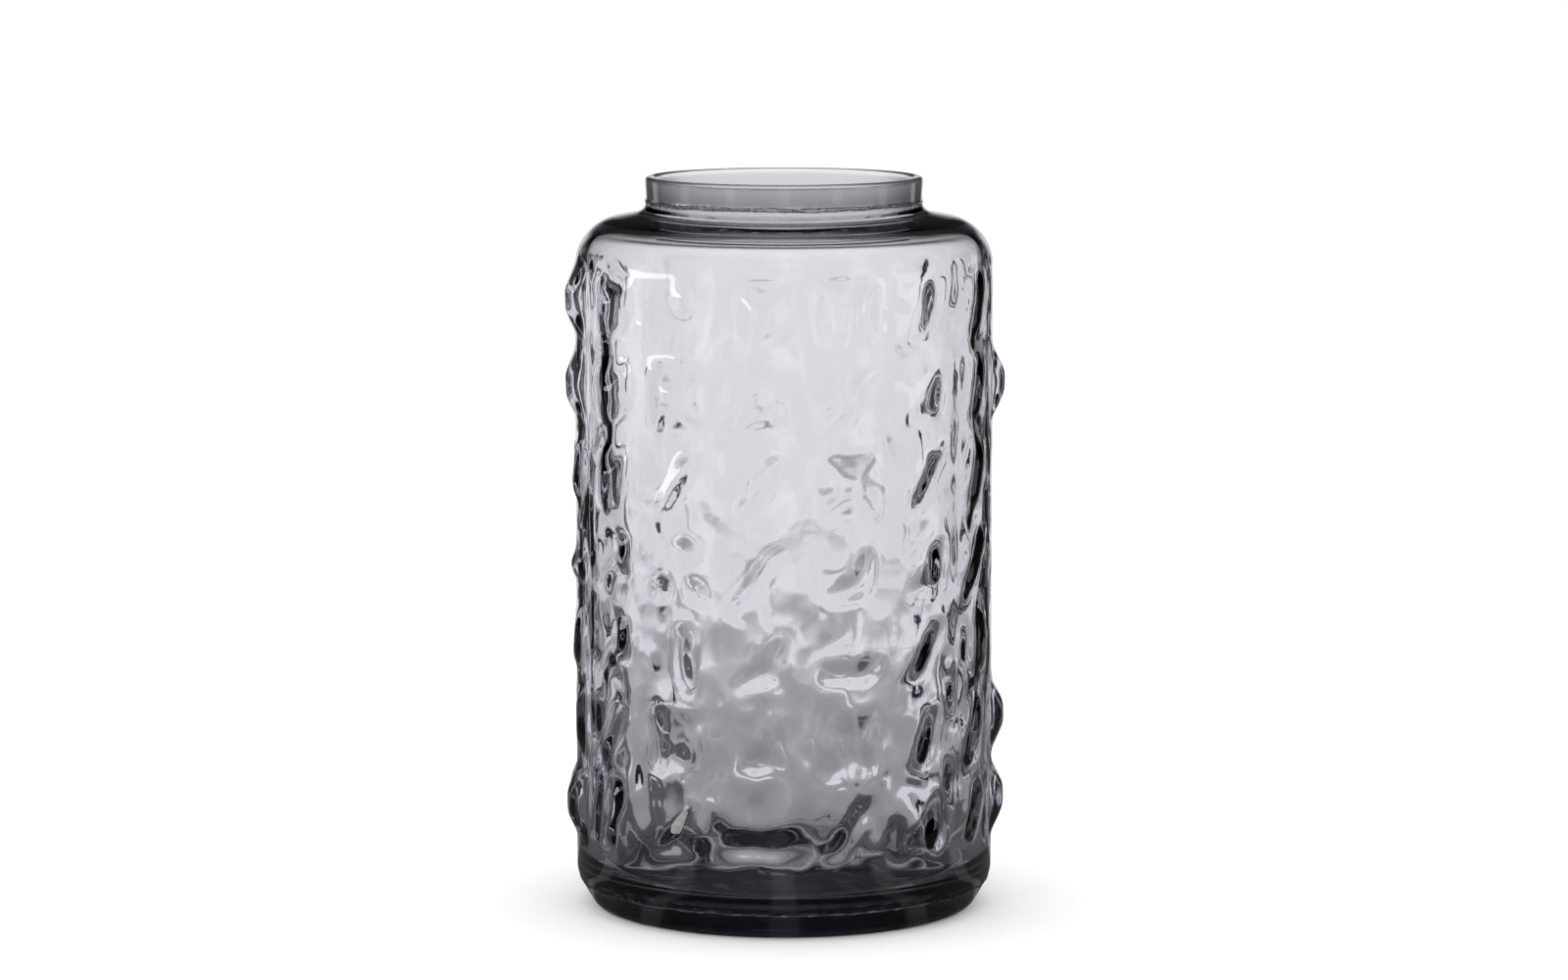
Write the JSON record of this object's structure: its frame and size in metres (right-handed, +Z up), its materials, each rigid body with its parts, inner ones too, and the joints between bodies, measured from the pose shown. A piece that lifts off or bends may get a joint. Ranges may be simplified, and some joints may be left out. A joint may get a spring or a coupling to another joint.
{
  "type": "glass cylinder vase",
  "caption": "Cylindrical flower vase of smoky grey glass with a heavy base, a short neck, a round mouth and bands of raised geometric blocks on its wall.",
  "frame": {"origin": "centre of the standing ring, on the surface that the vase stands on", "axes": "+Z up along the vase's axis, out of the mouth; -Y is the front"},
  "size_m": [0.1805, 0.1808, 0.3],
  "materials": {
    "smoke_glass": "clear mould-blown soda-lime glass with a smoky grey tint, smooth and glossy"
  },
  "bodies": {
    "root": {"base": "smoke_glass", "heel": "smoke_glass", "body_wall": "smoke_glass", "shoulder": "smoke_glass", "neck": "smoke_glass", "rim": "smoke_glass", "relief_row_1": "smoke_glass", "relief_row_2": "smoke_glass", "relief_row_3": "smoke_glass", "relief_row_4": "smoke_glass", "relief_row_5": "smoke_glass", "relief_row_6": "smoke_glass", "relief_row_7": "smoke_glass"}
  },
  "joints": []
}
